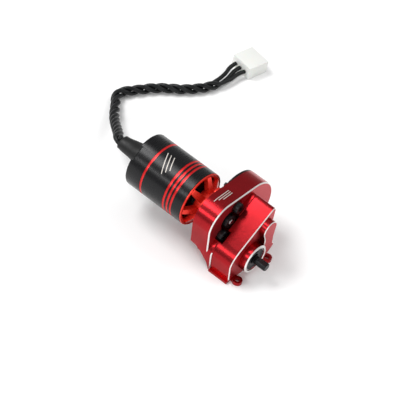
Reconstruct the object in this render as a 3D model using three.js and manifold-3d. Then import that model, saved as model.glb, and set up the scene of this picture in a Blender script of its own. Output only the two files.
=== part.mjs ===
// A small crawler drive unit: a fixed-can brushless motor on the rear of a machined reduction gearbox,
// with a twisted three-wire lead.  Millimetres.  +X is the direction of every shaft, towards the output,
// +Z is up, and the origin is on the underside of the gearbox foot, straight below the motor shaft.
//
// Inside the group called unit, x = 0 is the front face of the motor and y = z = 0 is the motor shaft.
import * as THREE from 'three';
import { mergeVertices } from 'three/addons/utils/BufferGeometryUtils.js';
import Module from 'manifold-3d';

const wasm = await Module();
wasm.setup();

// ---------------------------------------------------------------- driving dimensions
const AXIS_HEIGHT = 13.4;        // motor shaft above the foot
const FOOT_X = 14.0;             // origin of the row, measured from the motor's front face
const CAN_RADIUS = 7.75;
const CAN_LENGTH = 19.2;
const RUNNING = 0.05;            // radial clearance of a turning fit
const PRESS = 0.02;              // radial clearance of a pressed fit

const ARCH_REAR = 3.9;           // x stations of the gearbox
const ARCH_FRONT = 9.5;
const PARTING = 10.9;
const HOUSING_FRONT = 17.0;
const BOSS_FRONT = 19.2;
const ARM_FRONT = 18.8;
const SHAFT_TIP = 22.95;
const STUB_END = ARCH_REAR - 2.5;

const MODULE = 0.3;              // every gear
const TEETH = { motor: 15, spur: 50, spurPinion: 10, lay: 20, layPinion: 12, idler: 11, output: 29 };

const SCREW_CIRCLE = 4.2;        // motor screws
const SCREW_ANGLE = 58;
const BAND_X = [-13.9, -6.07, -4.84, -3.67];
const BAND_WIDTH = 0.5;
const BAND_DEPTH = 0.15;
const SLEEVE_END = -26.8;
const WIRE_RADIUS = 0.6;
const TWIST_RADIUS = 0.85;
const TWIST_PITCH = 10.5;

const radians = (degrees) => degrees * Math.PI / 180;

// Each shaft stands off the one before it by the two pitch radii, in the direction given.
function nextAxis(from, teethA, teethB, degrees) {
  const distance = MODULE * (teethA + teethB) / 2;
  return {
    y: from.y + distance * Math.cos(radians(degrees)),
    z: from.z + distance * Math.sin(radians(degrees)),
    angle: radians(degrees),
  };
}
const MOTOR = { y: 0, z: 0 };
const SPUR = nextAxis(MOTOR, TEETH.motor, TEETH.spur, -19);
const LAY = nextAxis(SPUR, TEETH.spurPinion, TEETH.lay, 136.8);
const IDLER = nextAxis(LAY, TEETH.layPinion, TEETH.idler, -92);
const OUTPUT = nextAxis(IDLER, TEETH.idler, TEETH.output, -134.7);

// ---------------------------------------------------------------- solids and booleans
const ALONG_X = new THREE.Matrix4().makeBasis(
  new THREE.Vector3(0, 1, 0), new THREE.Vector3(0, 0, 1), new THREE.Vector3(1, 0, 0));
const ALONG_MINUS_Y = new THREE.Matrix4().makeBasis(
  new THREE.Vector3(1, 0, 0), new THREE.Vector3(0, 0, 1), new THREE.Vector3(0, -1, 0));

// Merges the shared vertices and drops triangles of no area, which leaves one closed mesh.
function closed(geometry) {
  const bare = geometry.clone();
  bare.deleteAttribute('normal');
  bare.deleteAttribute('uv');
  const merged = mergeVertices(bare, 1e-4);
  const kept = [];
  for (let i = 0; i < merged.index.count; i += 3) {
    const [a, b, c] = [0, 1, 2].map((k) => merged.index.getX(i + k));
    if (a !== b && b !== c && c !== a) kept.push(a, b, c);
  }
  merged.setIndex(kept);
  return merged;
}

function toManifold(geometry) {
  const mesh = closed(geometry);
  return new wasm.Manifold(new wasm.Mesh({
    numProp: 3,
    vertProperties: new Float32Array(mesh.attributes.position.array),
    triVerts: new Uint32Array(mesh.index.array),
  }));
}

function toGeometry(manifold) {
  const mesh = manifold.getMesh();
  const geometry = new THREE.BufferGeometry();
  geometry.setAttribute('position', new THREE.BufferAttribute(mesh.vertProperties, 3));
  geometry.setIndex(new THREE.BufferAttribute(mesh.triVerts, 1));
  return geometry;
}

function join(first, ...others) {
  return toGeometry(others.reduce((sum, other) => sum.add(toManifold(other)), toManifold(first)));
}

function cut(first, ...tools) {
  return toGeometry(tools.reduce((rest, tool) => rest.subtract(toManifold(tool)), toManifold(first)));
}

// A shape drawn in (y, z), from x0 to x1.
function prism(shape, x0, x1, curveSegments = 12) {
  const geometry = new THREE.ExtrudeGeometry(shape, { depth: x1 - x0, bevelEnabled: false, curveSegments });
  return geometry.applyMatrix4(ALONG_X).translate(x0, 0, 0);
}

// A round solid about the shaft direction, from rings [x, radius] that go round its section once.
function turned(rings, segments = 24, at = MOTOR) {
  const profile = [...rings, rings[0]].map(([x, radius]) => new THREE.Vector2(radius, x));
  return closed(new THREE.LatheGeometry(profile, segments))
    .applyMatrix4(new THREE.Matrix4().makeRotationZ(-Math.PI / 2))
    .translate(0, at.y, at.z);
}

function rod(x0, x1, radius, segments = 20, at = MOTOR) {
  return turned([[x0, 0], [x0, radius], [x1, radius], [x1, 0]], segments, at);
}

function tube(x0, x1, inner, outer, segments = 24, at = MOTOR) {
  return turned([[x0, inner], [x0, outer], [x1, outer], [x1, inner]], segments, at);
}

function box(x0, x1, y0, y1, z0, z1) {
  return new THREE.BoxGeometry(x1 - x0, y1 - y0, z1 - z0)
    .translate((x0 + x1) / 2, (y0 + y1) / 2, (z0 + z1) / 2);
}

function polar(centre, radius, degrees) {
  return {
    y: centre.y + radius * Math.cos(radians(degrees)),
    z: centre.z + radius * Math.sin(radians(degrees)),
  };
}

// ---------------------------------------------------------------- materials
const paint = (colour, roughness, metalness) =>
  new THREE.MeshStandardMaterial({ color: colour, roughness, metalness });
const BLACK_ANODISED = paint(0x141416, 0.35, 0.6);
const RED_ANODISED = paint(0xa81822, 0.3, 0.8);
const STEEL = paint(0x9a9ca0, 0.3, 1.0);
const BLACK_STEEL = paint(0x202022, 0.4, 0.8);
const LAMINATION = paint(0x3a3c40, 0.5, 0.9);
const COPPER = paint(0x7c3418, 0.4, 0.7);
const MAGNET = paint(0x6c6e74, 0.4, 0.8);
const RUBBER = paint(0x111111, 0.7, 0.0);
const WHITE_NYLON = paint(0xe8e8e2, 0.5, 0.0);
const TIN = paint(0xc0c0c0, 0.3, 1.0);

const unit = new THREE.Group();
unit.position.set(-FOOT_X, 0, AXIS_HEIGHT);

function add(name, geometry, material) {
  const mesh = new THREE.Mesh(geometry, material);
  mesh.name = name;
  unit.add(mesh);
  return mesh;
}

// ---------------------------------------------------------------- gears
// Straight-flanked teeth, thin enough to run with backlash.  phase is the angle of one tooth's middle.
const BORE_SIDES = 16;
function gearShape(teeth, bore, phase) {
  const pitchRadius = MODULE * teeth / 2;
  const root = pitchRadius - 1.15 * MODULE;
  const tip = pitchRadius + 0.85 * MODULE;
  const pitch = 2 * Math.PI / teeth;
  const shape = new THREE.Shape();
  for (let tooth = 0; tooth < teeth; tooth += 1) {
    const middle = phase + tooth * pitch;
    const corners = [[root, -0.31], [tip, -0.12], [tip, 0.12], [root, 0.31]];
    corners.forEach(([radius, share], corner) => {
      const angle = middle + share * pitch;
      const point = [radius * Math.cos(angle), radius * Math.sin(angle)];
      if (tooth === 0 && corner === 0) shape.moveTo(...point);
      else shape.lineTo(...point);
    });
  }
  shape.closePath();
  if (bore > 0) {
    const hole = new THREE.Path();
    hole.absarc(0, 0, bore / Math.cos(Math.PI / BORE_SIDES), 0, 2 * Math.PI, true);
    shape.holes.push(hole);
  }
  return shape;
}

function gear(teeth, bore, phase, x0, x1, at) {
  return prism(gearShape(teeth, bore, phase), x0, x1, BORE_SIDES / 2).translate(0, at.y, at.z);
}

// The phase that puts a tooth of the driver in a gap of the driven gear, where direction is the angle
// from the driver's axis to the driven one.
function meshed(driverTeeth, driverPhase, drivenTeeth, direction) {
  const driverShare = (direction - driverPhase) * driverTeeth / (2 * Math.PI);
  return direction + Math.PI - 2 * Math.PI * (0.5 - driverShare) / drivenTeeth;
}

const spurPhase = meshed(TEETH.motor, 0, TEETH.spur, SPUR.angle);
const layPhase = meshed(TEETH.spurPinion, 0, TEETH.lay, LAY.angle);
const idlerPhase = meshed(TEETH.layPinion, 0, TEETH.idler, IDLER.angle);
const outputPhase = meshed(TEETH.idler, idlerPhase, TEETH.output, OUTPUT.angle);

const tipRadius = (teeth) => MODULE * (teeth / 2 + 0.85);

// ---------------------------------------------------------------- motor: fixed parts
// The can is an open tube with four shallow bands and a notch in its rear rim.
function motorCan() {
  const bands = BAND_X.flatMap((x) => [
    [x - BAND_WIDTH / 2, CAN_RADIUS], [x - BAND_WIDTH / 2, CAN_RADIUS - BAND_DEPTH],
    [x + BAND_WIDTH / 2, CAN_RADIUS - BAND_DEPTH], [x + BAND_WIDTH / 2, CAN_RADIUS],
  ]);
  const rim = 0.35;
  const shell = turned([
    [-CAN_LENGTH, 7.1], [-CAN_LENGTH, CAN_RADIUS - rim], [rim - CAN_LENGTH, CAN_RADIUS],
    ...bands, [-0.4, CAN_RADIUS], [-0.4, 7.1],
  ], 40);
  const notch = box(-0.7, 0.7, -2.2, 2.2, 6.5, 8.5)
    .rotateX(radians(41))
    .translate(-CAN_LENGTH + 0.2, 0, 0);
  add('motor_can', cut(shell, notch), BLACK_ANODISED);
}

// Rim ring, sloping spokes, a hub that seats the front bearing, and two lobes for the motor screws.
const SPOKES = 7;
const SPOKE_WIDTH = 1.75;
const FIRST_SPOKE = 37.6;        // degrees of turn from straight up
function frontEndBell() {
  const hubFront = ARCH_REAR - 0.05;
  const ring = turned([[-2.4, 6.5], [-2.4, 7.05], [-0.35, 7.05], [-0.35, CAN_RADIUS], [0, CAN_RADIUS],
    [0, 7.1], [-0.5, 6.5]], 40);
  const hub = rod(0.2, hubFront, 3.7, 28);
  const spokeSide = new THREE.Shape([
    new THREE.Vector2(-1.0, 6.6), new THREE.Vector2(-0.2, 7.2),
    new THREE.Vector2(2.4, 3.4), new THREE.Vector2(0.8, 3.4),
  ]);
  const spokes = [];
  for (let spoke = 0; spoke < SPOKES; spoke += 1) {
    const bar = new THREE.ExtrudeGeometry(spokeSide, { depth: SPOKE_WIDTH, bevelEnabled: false });
    bar.applyMatrix4(ALONG_MINUS_Y).translate(0, SPOKE_WIDTH / 2, 0);
    spokes.push(bar.rotateX(radians(FIRST_SPOKE + 360 * spoke / SPOKES)));
  }
  const lobes = [0, 180].map((turn) =>
    rod(2.7, hubFront, 1.4, 16, polar(MOTOR, SCREW_CIRCLE, SCREW_ANGLE + turn)));
  const holes = [0, 180].map((turn) =>
    rod(2.4, ARCH_REAR, 0.95, 12, polar(MOTOR, SCREW_CIRCLE, SCREW_ANGLE + turn)));
  const body = join(ring, hub, ...spokes, ...lobes);
  const bearingSeat = rod(0.1, 2.2, 2.0 + PRESS, 20);
  const shaftBore = rod(2.0, ARCH_REAR, 1.1, 16);
  add('front_end_bell', cut(body, bearingSeat, shaftBore, ...holes), RED_ANODISED);
}

// A disc in the rear of the can, with the tube that carries the stator.
function rearEndCap() {
  const disc = turned([
    [-18.9, 0], [-18.9, 7.05], [-17.7, 7.05], [-17.7, 2.6], [-3.9, 2.6], [-3.9, 1.2],
    [-16.2, 1.2], [-16.2, 2.0], [-18.0, 2.0], [-18.0, 0],
  ], 32);
  add('rear_end_cap', disc, BLACK_ANODISED);
}

// Nine teeth with shoes, on a hub that fits the tube of the rear cap.
const STATOR_TEETH = 9;
const STATOR_X = [-14.8, -4.6];
function statorCore() {
  const shape = new THREE.Shape();
  const step = 2 * Math.PI / STATOR_TEETH;
  const place = (radius, angle) => [radius * Math.cos(angle), radius * Math.sin(angle)];
  for (let tooth = 0; tooth < STATOR_TEETH; tooth += 1) {
    const middle = tooth * step;
    const outline = [[3.2, -0.17], [4.7, -0.12], [4.9, -0.29], [5.4, -0.29], [5.5, 0],
      [5.4, 0.29], [4.9, 0.29], [4.7, 0.12], [3.2, 0.17]];
    outline.forEach(([radius, angle], corner) => {
      const point = place(radius, middle + angle);
      if (tooth === 0 && corner === 0) shape.moveTo(...point);
      else shape.lineTo(...point);
    });
  }
  shape.closePath();
  const bore = new THREE.Path();
  bore.absarc(0, 0, 2.6 + PRESS, 0, 2 * Math.PI, true);
  shape.holes.push(bore);
  add('stator_core', prism(shape, ...STATOR_X, 12), LAMINATION);
}

// One coil round each tooth, joined by the star ring behind them.
function statorWindings() {
  const [rear, front] = STATOR_X;
  const ring = tube(rear - 1.1, rear - 0.65, 3.3, 4.5, 27);
  const coils = [];
  const windows = [];
  for (let tooth = 0; tooth < STATOR_TEETH; tooth += 1) {
    const turn = radians(360 * tooth / STATOR_TEETH);
    coils.push(box(rear - 0.7, front + 0.7, 3.4, 4.6, -1.08, 1.08).rotateX(turn));
    windows.push(box(rear - 0.1, front + 0.1, 3.0, 5.0, -0.68, 0.68).rotateX(turn));
  }
  add('stator_windings', cut(join(ring, ...coils), ...windows), COPPER);
}

function motorBearings() {
  add('motor_rear_bearing', tube(-17.9, -16.4, 0.75 + RUNNING, 2.0 - PRESS, 20), STEEL);
  add('motor_front_bearing', tube(0.4, 2.1, 0.75 + RUNNING, 2.0 - PRESS, 20), STEEL);
}

// ---------------------------------------------------------------- motor: rotor
function rotor() {
  const bell = turned([[-16.6, 6.2], [-16.6, 6.75], [-2.8, 6.75], [-2.8, 1.9], [-1.2, 1.9],
    [-1.2, 0.75 + PRESS], [-3.6, 0.75 + PRESS], [-3.6, 6.2]], 32);
  const windows = [45, 135, 225, 315].map((turn) =>
    rod(-4.0, -2.0, 1.3, 12, polar(MOTOR, 4.1, turn)));
  add('rotor_bell', cut(bell, ...windows), STEEL);
  add('magnet_ring', tube(-15.8, -4.2, 5.65, 6.2 - PRESS, 32), MAGNET);
  add('motor_shaft', rod(-17.7, 10.5, 0.75, 16), STEEL);
}

// Teeth at the rear and a long hub in front of them, held on the shaft by a set screw.
function motorPinion() {
  const teeth = gear(TEETH.motor, 0.75 + PRESS, 0, 4.1, 5.5, MOTOR);
  const hub = tube(5.45, 10.3, 0.75 + PRESS, 1.9, 20);
  const setScrewHole = new THREE.CylinderGeometry(0.55, 0.55, 3, 12)
    .translate(0, 2.35, 0)
    .rotateX(radians(35))
    .translate(8.6, 0, 0);
  add('motor_pinion', cut(join(teeth, hub), setScrewHole), BLACK_STEEL);
}

// ---------------------------------------------------------------- gearbox housings
// Tall rounded outline of the rear housing, seen from the front.
const ARCH_TOP = 6.2;
const CASE_RADIUS = 9.1;
function archOutline() {
  const shape = new THREE.Shape();
  const cornerY = -1.4;
  shape.moveTo(-5.8, -AXIS_HEIGHT);
  shape.lineTo(cornerY - ARCH_TOP, 0);
  shape.absarc(cornerY, 0, ARCH_TOP, Math.PI, Math.PI / 2, true);
  shape.lineTo(SPUR.y, SPUR.z + CASE_RADIUS);
  shape.absarc(SPUR.y, SPUR.z, CASE_RADIUS, Math.PI / 2, -Math.PI / 2, true);
  shape.lineTo(SPUR.y - 0.8, -AXIS_HEIGHT);
  shape.closePath();
  return shape;
}

// The lower block under the sloping top, on both sides of the parting plane.  inset is how far its near
// wall stands inside the rear housing's.
function blockOutline(inset) {
  const shape = new THREE.Shape();
  shape.moveTo(-5.8 + inset, -AXIS_HEIGHT);
  shape.lineTo(-6.6 + inset, -7.6);
  shape.quadraticCurveTo(-6.3 + inset, -5.3, -3.4, -3.4);
  shape.lineTo(7.1, 4.1);
  shape.quadraticCurveTo(9.1, 5.5, 9.1, 3.2);
  shape.lineTo(9.1, -AXIS_HEIGHT);
  shape.closePath();
  return shape;
}

// The case screws go in from the rear: mouth is where each counterbore opens, seat where it ends.
const caseScrews = [
  { y: -4.3, z: -10.7, mouth: 3.0, seat: 9.9 },
  { y: 8.0, z: -9.3, mouth: 5.5, seat: 7.2 },
  { y: 7.95, z: 2.55, mouth: 5.5, seat: 8.8 },
];
const motorScrews = [0, 180].map((turn) => polar(MOTOR, SCREW_CIRCLE, SCREW_ANGLE + turn));
const plateScrews = [117, 2, -80].map((turn) => polar(SPUR, 8.52, turn));
const PLATE_SCREW_HOLE = 0.4;

function rearHousing() {
  const body = join(prism(archOutline(), ARCH_REAR, ARCH_FRONT, 18),
    prism(blockOutline(0), ARCH_FRONT - 0.5, PARTING, 8));
  // The rear lower corner is scooped away on the near side of the output bore.
  const corner = new THREE.Shape([
    new THREE.Vector2(ARCH_REAR - 1, -7.3), new THREE.Vector2(ARCH_REAR - 1, -20),
    new THREE.Vector2(PARTING + 1, -20), new THREE.Vector2(PARTING - 0.5, -AXIS_HEIGHT),
    new THREE.Vector2(9.7, -11.4), new THREE.Vector2(7.3, -8.7), new THREE.Vector2(5.6, -7.6),
  ]);
  const cornerCut = new THREE.ExtrudeGeometry(corner, { depth: 10, bevelEnabled: false })
    .applyMatrix4(ALONG_MINUS_Y).translate(0, -2.4, 0);
  const tools = [
    cornerCut,
    rod(ARCH_REAR - 1, 5.7, 7.95, 40, SPUR),
    rod(5, 7.5, tipRadius(TEETH.lay) + 0.3, 24, LAY),
    rod(5, 7.5, tipRadius(TEETH.spurPinion) + 0.35, 20, SPUR),
    rod(7, 9.1, 0.75 + PRESS, 12, SPUR),
    rod(ARCH_REAR - 1, 12, 2.9, 24, MOTOR),
    rod(7, 9, 1.3, 12, LAY),
    rod(8.9, 12, 2.0 + PRESS, 20, LAY),
    rod(9.6, 12, 0.6 + PRESS, 12, IDLER),
    rod(ARCH_REAR - 1, 8.3, 1.9, 16, OUTPUT),
    rod(8.2, 12, 3.0 + PRESS, 24, OUTPUT),
    ...motorScrews.map((at) => rod(ARCH_REAR - 1, 10, 1.05, 12, at)),
    ...motorScrews.map((at) => rod(ARCH_FRONT, 12, 2.05, 16, at)),
    ...caseScrews.map((at) => rod(5, 12, 0.85, 12, at)),
    ...caseScrews.map((at) => rod(at.mouth, at.seat, 1.5, 12, at)),
    ...plateScrews.map((at) => rod(ARCH_REAR - 1, ARCH_REAR + 2.0, PLATE_SCREW_HOLE, 8, at)),
  ];
  add('rear_housing', cut(body, ...tools), RED_ANODISED);
}

// The arm that carries the idler and layshaft ends, down the far side of the output boss.
function armOutline() {
  const shape = new THREE.Shape();
  shape.moveTo(3.8, -1.3);
  shape.lineTo(4.6, -3.1);
  shape.lineTo(4.9, -5.6);
  shape.lineTo(4.2, -7.0);
  shape.lineTo(5.0, -10.0);
  shape.lineTo(7.4, -9.6);
  shape.lineTo(8.9, -8.2);
  shape.lineTo(9.4, -7.3);
  shape.lineTo(8.5, -6.3);
  shape.lineTo(8.2, -3.6);
  shape.lineTo(8.3, -0.6);
  shape.closePath();
  return shape;
}

const EAR_X = 18.4;
const EARS = [-3.5, 8.6];
function ear(y) {
  const eye = new THREE.CylinderGeometry(1.35, 1.35, 1.0, 20)
    .rotateX(Math.PI / 2)
    .translate(EAR_X, y, -AXIS_HEIGHT + 0.5);
  const neck = box(HOUSING_FRONT - 0.8, EAR_X, y - 0.95, y + 0.95, -AXIS_HEIGHT, -AXIS_HEIGHT + 1.0);
  return join(eye, neck);
}

function earHole(y) {
  return new THREE.CylinderGeometry(0.7, 0.7, 3, 16)
    .rotateX(Math.PI / 2)
    .translate(EAR_X, y, -AXIS_HEIGHT);
}

function frontHousing() {
  const front = PARTING + 0.02;
  const cavityEnd = 15.6;
  const body = join(
    prism(blockOutline(0.45), front, HOUSING_FRONT, 8),
    rod(HOUSING_FRONT - 0.5, BOSS_FRONT, 4.2, 36, OUTPUT),
    rod(HOUSING_FRONT - 0.5, ARM_FRONT, 2.45, 28, LAY),
    prism(armOutline(), HOUSING_FRONT - 0.5, ARM_FRONT),
    box(front, HOUSING_FRONT, -6.3, -4.9, -AXIS_HEIGHT, -AXIS_HEIGHT + 0.7),
    ...EARS.map(ear),
  );
  const tools = [
    rod(9, cavityEnd, tipRadius(TEETH.output) + 0.25, 32, OUTPUT),
    rod(9, cavityEnd, tipRadius(TEETH.layPinion) + 0.2, 20, LAY),
    rod(9, cavityEnd, tipRadius(TEETH.idler) + 0.3, 20, IDLER),
    rod(15, 16.5, 2.3, 20, OUTPUT),
    rod(16.4, 20, 3.5 + PRESS, 28, OUTPUT),
    rod(15, 17.9, 2.0 + PRESS, 20, LAY),
    rod(15, 17.7, 0.6 + PRESS, 12, IDLER),
    rod(16.2, 18, 0.3, 8, { y: 4.3, z: -4.2 }),
    ...motorScrews.map((at) => rod(9, 11.9, 2.05, 16, at)),
    ...caseScrews.map((at) => rod(9, 15.2, 0.85, 12, at)),
    ...EARS.map(earHole),
  ];
  add('front_housing', cut(body, ...tools), RED_ANODISED);
}

// A crescent that closes the spur gear's side of the case and stops short of the motor.
function backPlate() {
  const rear = ARCH_REAR - 0.75;
  const front = ARCH_REAR - 0.05;
  const tools = [
    rod(0, 5, 5.6, 28, MOTOR),
    box(0, 5, -10, 4.0, -20, 20),
    rod(0, 5, 1.6, 16, OUTPUT),
    ...plateScrews.map((at) => rod(0, 5, PLATE_SCREW_HOLE, 8, at)),
  ];
  add('back_plate', cut(rod(rear, front, CASE_RADIUS - 0.05, 40, SPUR), ...tools), BLACK_ANODISED);
}

// ---------------------------------------------------------------- fasteners
// A rod between two x stations given in either order.
function rodBetween(a, b, radius, segments, at) {
  return rod(Math.min(a, b), Math.max(a, b), radius, segments, at);
}

// A cap screw along x, seated at seat.  direction is +1 or -1, the way its shank points.
function capScrew(name, at, seat, direction, { head, headLength, shank, length }) {
  const top = seat - direction * headLength;
  const tip = seat + direction * length;
  const body = join(rodBetween(top, seat, head, 16, at), rodBetween(seat, tip, shank, 12, at));
  const socketFloor = top + direction * 0.6 * headLength;
  const socket = rodBetween(top - direction, socketFloor, 0.5 * head, 6, at);
  add(name, cut(body, socket), BLACK_STEEL);
}

const MOTOR_SCREW = { head: 1.5, headLength: 1.3, shank: 0.9, length: 6.8 };
const CASE_SCREW = { head: 1.4, headLength: 1.0, shank: 0.8, length: 4.2 };
const PLATE_SCREW = { head: 0.56, headLength: 0.4, shank: 0.35, length: 2.4 };
function fasteners() {
  motorScrews.forEach((at, i) =>
    capScrew(`motor_screw_${i + 1}`, at, ARCH_FRONT + 0.02, -1, MOTOR_SCREW));
  caseScrews.forEach((at, i) =>
    capScrew(`case_screw_${i + 1}`, at, at.seat - 0.02, 1, CASE_SCREW));
  plateScrews.forEach((at, i) =>
    capScrew(`plate_screw_${i + 1}`, at, ARCH_REAR - 0.78, 1, PLATE_SCREW));
}

// ---------------------------------------------------------------- gear train
function spurCluster() {
  add('spur_pin', rod(ARCH_REAR + 0.05, 9.0, 0.75, 16, SPUR), STEEL);
  const hub = tube(4.1, 5.8, 0.75 + RUNNING, 1.25, 16, SPUR);
  const teeth = gear(TEETH.spurPinion, 0.75 + RUNNING, 0, 5.75, 7.2, SPUR);
  add('spur_pinion', join(hub, teeth), STEEL);
  add('spur_gear', gear(TEETH.spur, 1.25 + PRESS, spurPhase, 4.2, 5.4, SPUR), BLACK_STEEL);
}

function layshaft() {
  const shaft = rod(5.75, 17.7, 1.0, 16, LAY);
  const pinion = gear(TEETH.layPinion, 0, 0, 11.4, 15.0, LAY);
  add('layshaft', join(shaft, pinion), STEEL);
  add('layshaft_gear', gear(TEETH.lay, 1.0 + PRESS, layPhase, 5.9, 7.1, LAY), STEEL);
  add('layshaft_rear_bearing', tube(8.95, 10.6, 1.0 + RUNNING, 2.0, 20, LAY), STEEL);
  add('layshaft_front_bearing', tube(15.95, 17.6, 1.0 + RUNNING, 2.0, 20, LAY), STEEL);
}

function idler() {
  add('idler_pin', rod(9.8, 17.5, 0.6, 12, IDLER), STEEL);
  add('idler_gear', gear(TEETH.idler, 0.6 + RUNNING, idlerPhase, 11.4, 15.0, IDLER), STEEL);
}

// Stub towards the rear, journals in both bearings, and a tip with a drive flat at the front.
function output() {
  const shaft = turned([[STUB_END, 0], [STUB_END, 1.0], [6.1, 1.0], [6.1, 1.5], [BOSS_FRONT, 1.5],
    [BOSS_FRONT, 1.15], [SHAFT_TIP, 1.15], [SHAFT_TIP, 0]], 20, OUTPUT);
  const flat = box(BOSS_FRONT + 0.8, SHAFT_TIP + 1, -2, 2, 0.85, 2).translate(0, OUTPUT.y, OUTPUT.z);
  add('output_shaft', cut(shaft, flat), BLACK_STEEL);
  add('output_gear', gear(TEETH.output, 1.5 + PRESS, outputPhase, 11.4, 14.9, OUTPUT), STEEL);
  add('output_rear_bearing', tube(8.25, 10.5, 1.5 + RUNNING, 3.0, 24, OUTPUT), STEEL);
  add('output_front_bearing', tube(16.45, 18.9, 1.5 + RUNNING, 3.5, 28, OUTPUT), STEEL);
}

// ---------------------------------------------------------------- lead
// Three-way wire-to-board connector: x, y is the middle of the face where the wires go in.
const CONNECTOR = { x: -33.6, y: 59.6, turn: radians(-10), width: 7.4, length: 7.0, height: 4.0 };
const CONTACT_PITCH = 2.0;

// The line of the bundle, in the unit's own millimetres: straight out of the sleeve, down to the
// surface that the foot stands on, and along it in a loose curve to the connector.
const FLOOR = -AXIS_HEIGHT + WIRE_RADIUS + TWIST_RADIUS + 0.05;
const ROUTE = [
  [-27.3, 0, 0], [-29.3, 0.6, -0.4], [-31.4, 3.2, -2.2], [-34.6, 6.6, -4.8], [-38.6, 10.8, -7.9],
  [-42.2, 14.8, -10.3], [-45.4, 18.9, -11.6], [-47.9, 22.0, FLOOR], [-48.7, 24.1, FLOOR],
  [-47.8, 26.5, FLOOR], [-45.9, 29.9, FLOOR], [-44.0, 33.2, FLOOR], [-41.5, 36.3, FLOOR],
  [-38.8, 39.0, FLOOR], [-36.5, 42.1, FLOOR], [-34.5, 45.8, FLOOR], [-33.6, 49.5, FLOOR],
  [-33.5, 53.6, FLOOR], [-33.9, 56.8, -11.6], [-33.66, 59.26, -11.4],
];
const FAN_LENGTH = 10.0;         // over which the wires part to the pitch of the contacts

// One of the three wires: a helix about the route that runs out to its own way of the connector.
class WireCurve extends THREE.Curve {
  constructor(line, phase, way) {
    super();
    this.line = line;
    this.phase = phase;
    this.length = line.getLength();
    this.fanned = new THREE.Vector3(Math.cos(CONNECTOR.turn), Math.sin(CONNECTOR.turn), 0)
      .multiplyScalar(way * CONTACT_PITCH);
  }

  getPoint(t) {
    const along = this.line.getTangentAt(t);
    const side = new THREE.Vector3(-along.y, along.x, 0).normalize();
    const up = new THREE.Vector3().crossVectors(along, side);
    const toEnd = (1 - t) * this.length;
    const angle = this.phase - 2 * Math.PI * Math.max(0, toEnd - FAN_LENGTH) / TWIST_PITCH;
    const twisted = side.multiplyScalar(TWIST_RADIUS * Math.cos(angle))
      .addScaledVector(up, TWIST_RADIUS * Math.sin(angle));
    const spread = THREE.MathUtils.clamp(1 - toEnd / FAN_LENGTH, 0, 1);
    return this.line.getPointAt(t).add(twisted.lerp(this.fanned, spread));
  }
}

// phase is each wire's place round the bundle where the wires begin to part.
const WIRES = [
  { name: 'lead_wire_a', phase: 30, way: -1 },
  { name: 'lead_wire_b', phase: 150, way: 1 },
  { name: 'lead_wire_c', phase: 270, way: 0 },
];
function lead() {
  const line = new THREE.CatmullRomCurve3(ROUTE.map((point) => new THREE.Vector3(...point)));
  const section = new THREE.Shape();
  section.absarc(0, 0, WIRE_RADIUS, 0, 2 * Math.PI, false);
  WIRES.forEach(({ name, phase, way }) => {
    const extrudePath = new WireCurve(line, radians(phase), way);
    const wire = new THREE.ExtrudeGeometry(section,
      { extrudePath, steps: 48, curveSegments: 4, bevelEnabled: false });
    add(name, closed(wire), RUBBER);
  });

  add('lead_sleeve', sleeve(), RUBBER);
}

// An oval tube that starts against the rear cap and draws in, and down, to the bundle of wires.
function sleeve() {
  const start = -18.92;
  const { lerp } = THREE.MathUtils;
  const circle = new THREE.Shape();
  circle.absarc(0, 0, 1, 0, 2 * Math.PI, false);
  const tube = prism(circle, SLEEVE_END, start, 10);
  const place = tube.attributes.position;
  for (let i = 0; i < place.count; i += 1) {
    const share = (place.getX(i) - SLEEVE_END) / (start - SLEEVE_END);
    place.setY(i, place.getY(i) * lerp(2.2, 3.5, share));
    place.setZ(i, place.getZ(i) * lerp(1.6, 2.9, share) + 0.5 * share);
  }
  return tube;
}

// A housing with one cavity, window and crimped contact for each way.
function connector() {
  const group = new THREE.Group();
  const { width, length, height } = CONNECTOR;
  group.position.set(CONNECTOR.x, CONNECTOR.y, -AXIS_HEIGHT);
  group.rotation.z = CONNECTOR.turn;
  unit.add(group);
  const shell = box(-width / 2, width / 2, 0, length, 0, height);
  const cavities = [];
  const contacts = [];
  for (let way = -1; way <= 1; way += 1) {
    const x = way * CONTACT_PITCH;
    cavities.push(box(x - 0.7, x + 0.7, 0.9, length + 1, 1.25, 2.75));
    cavities.push(box(x - 0.35, x + 0.35, 1.5, length - 1, -1, 1.5));
    contacts.push(box(x - 0.45, x + 0.45, 1.2, length - 0.6, 1.5, 2.3));
  }
  const keys = [-1, 1].map((side) =>
    box(side * 3.2 - 0.2, side * 3.2 + 0.2, 3.2, length + 1, -1, 0.8));
  const housing = new THREE.Mesh(cut(shell, ...cavities, ...keys), WHITE_NYLON);
  housing.name = 'connector_housing';
  group.add(housing);
  contacts.forEach((geometry, i) => {
    const contact = new THREE.Mesh(geometry, TIN);
    contact.name = `connector_contact_${i + 1}`;
    group.add(contact);
  });
}

motorCan();
frontEndBell();
rearEndCap();
statorCore();
statorWindings();
motorBearings();
rotor();
motorPinion();
rearHousing();
frontHousing();
backPlate();
fasteners();
spurCluster();
layshaft();
idler();
output();
lead();
connector();

const driveUnit = new THREE.Group();
driveUnit.add(unit);

export default driveUnit;
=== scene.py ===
"""Looks of the crawler drive unit: a fixed-can brushless motor on a machined reduction gearbox.

Metres in the row frame: +X is the direction of every shaft, +Z is up, and the origin is on the foot,
under the motor shaft.  The makers below work in millimetres from the motor's front face and shaft, and
finished() carries each mesh to the row frame.
"""
import math

import bmesh
import bpy
from mathutils import Matrix, Vector


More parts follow.
